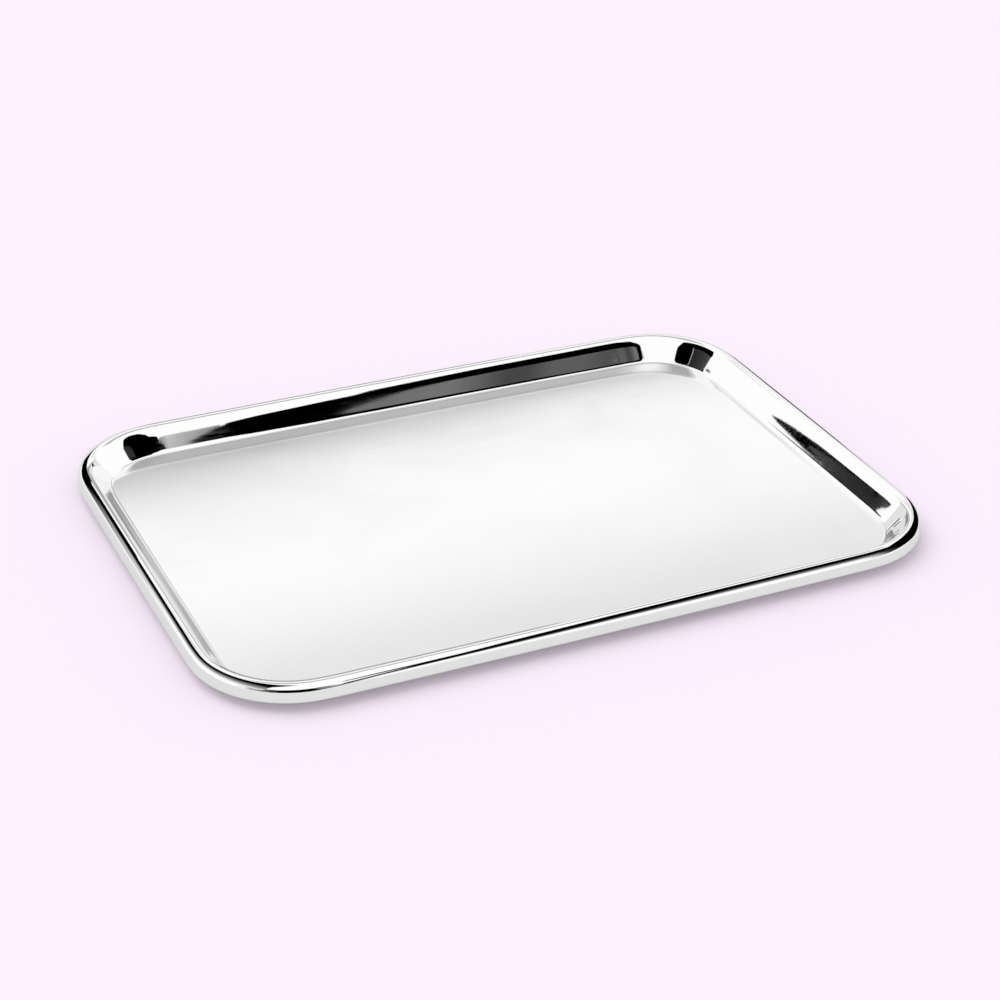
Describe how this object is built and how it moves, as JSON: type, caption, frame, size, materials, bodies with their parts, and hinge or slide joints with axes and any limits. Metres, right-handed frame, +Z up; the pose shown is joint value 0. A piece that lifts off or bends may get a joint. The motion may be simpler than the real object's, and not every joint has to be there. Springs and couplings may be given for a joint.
{
  "type": "steel tray",
  "caption": "Shallow rectangular tray in mirror polished stainless steel, with rounded corners, sloping walls and a rolled rim over a stiffening wire.",
  "frame": {"origin": "under the middle of the floor, on the surface that the tray stands on", "axes": "+X along the tray's length, +Y along its width towards the side where the rim wire's ends meet, +Z up out of the tray"},
  "size_m": [0.35, 0.25, 0.012],
  "materials": {
    "polished_steel": "polished",
    "drawn_wire": "satin"
  },
  "bodies": {
    "root": {"tray_pan": "polished_steel", "rim_wire": "drawn_wire"}
  },
  "joints": []
}
